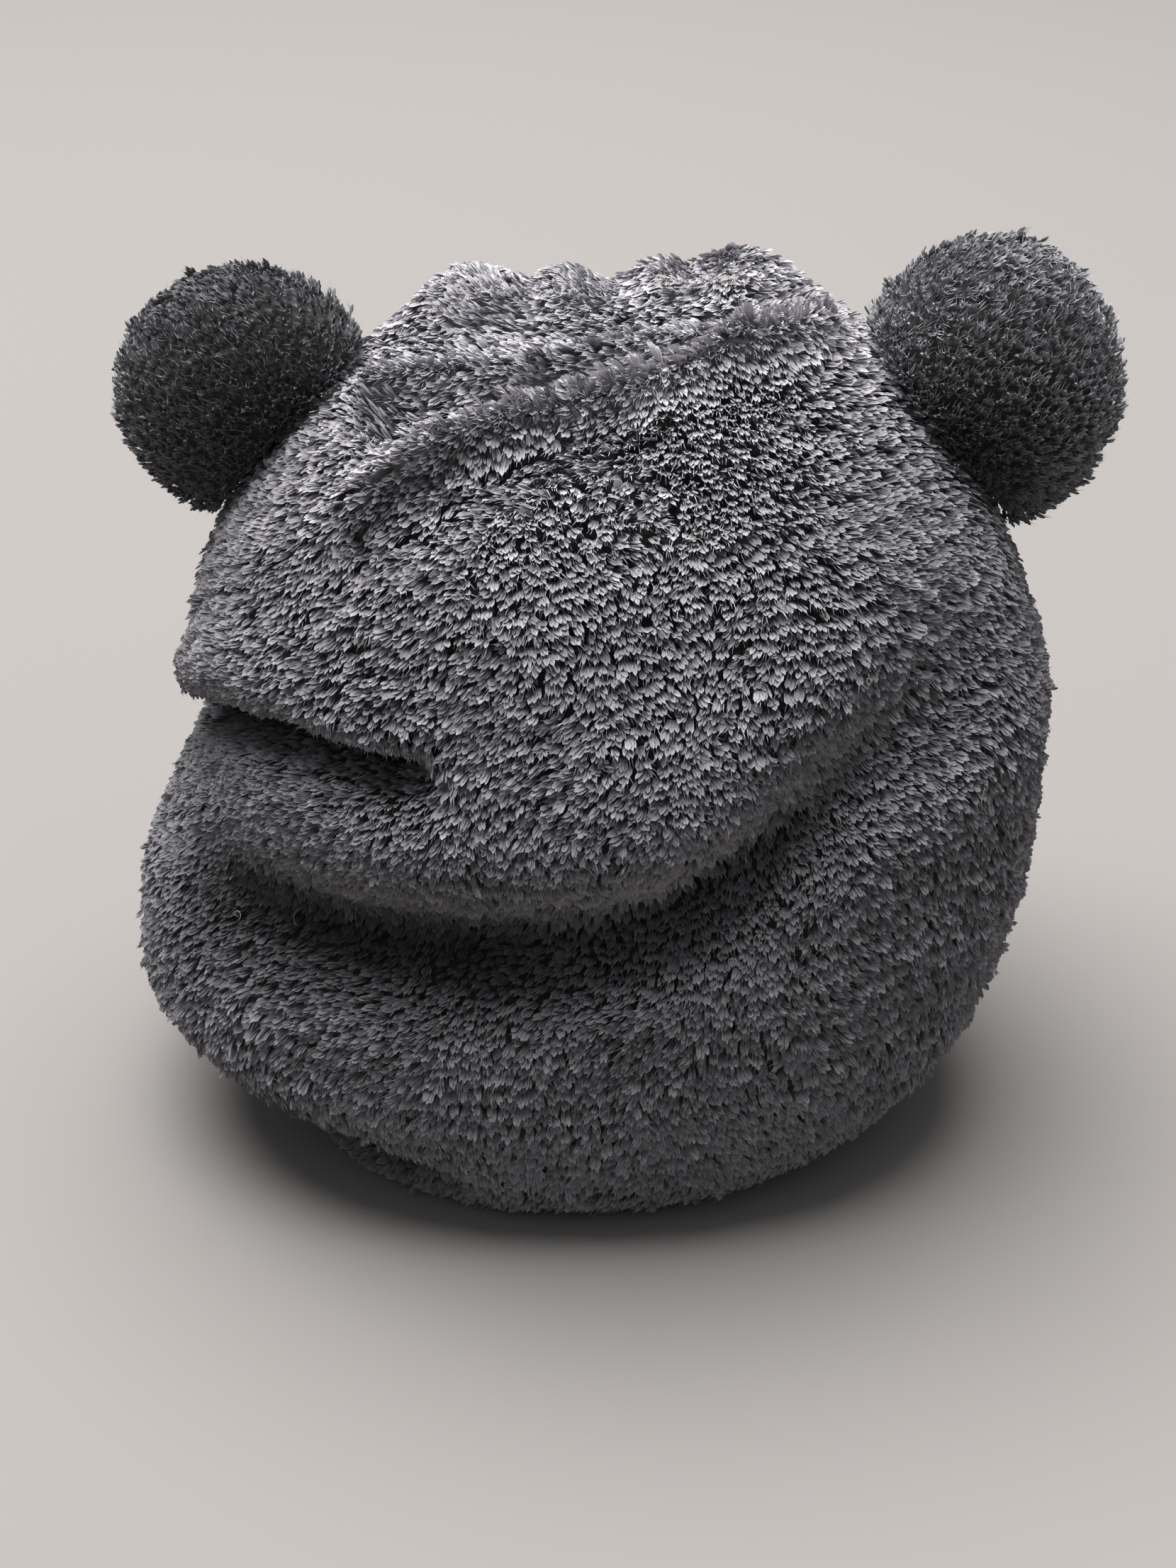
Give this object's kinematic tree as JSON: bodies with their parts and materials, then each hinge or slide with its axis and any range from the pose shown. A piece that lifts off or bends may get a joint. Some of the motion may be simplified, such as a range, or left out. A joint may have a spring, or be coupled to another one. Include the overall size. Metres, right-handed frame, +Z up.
{
  "type": "baby hat with ears",
  "caption": "Soft teddy fleece baby hat with round padded ears, standing on its open rim and slumped into folds.",
  "frame": {"origin": "middle of the hat's overall box, on the surface the hem stands on", "axes": "+Z up, -Y towards the front of the hat, +X towards the ear on the right when the front is looked at"},
  "size_m": [0.2314, 0.1604, 0.208],
  "materials": {
    "panel_fleece": "matt tufted teddy fleece, charcoal grey",
    "hem_fleece": "matt tufted teddy fleece, charcoal grey",
    "ear_fleece": "matt tufted teddy fleece, charcoal grey"
  },
  "bodies": {
    "root": {"front_panel": "panel_fleece", "back_panel": "panel_fleece", "hem": "hem_fleece", "ear_left": "ear_fleece", "ear_right": "ear_fleece"}
  },
  "joints": []
}
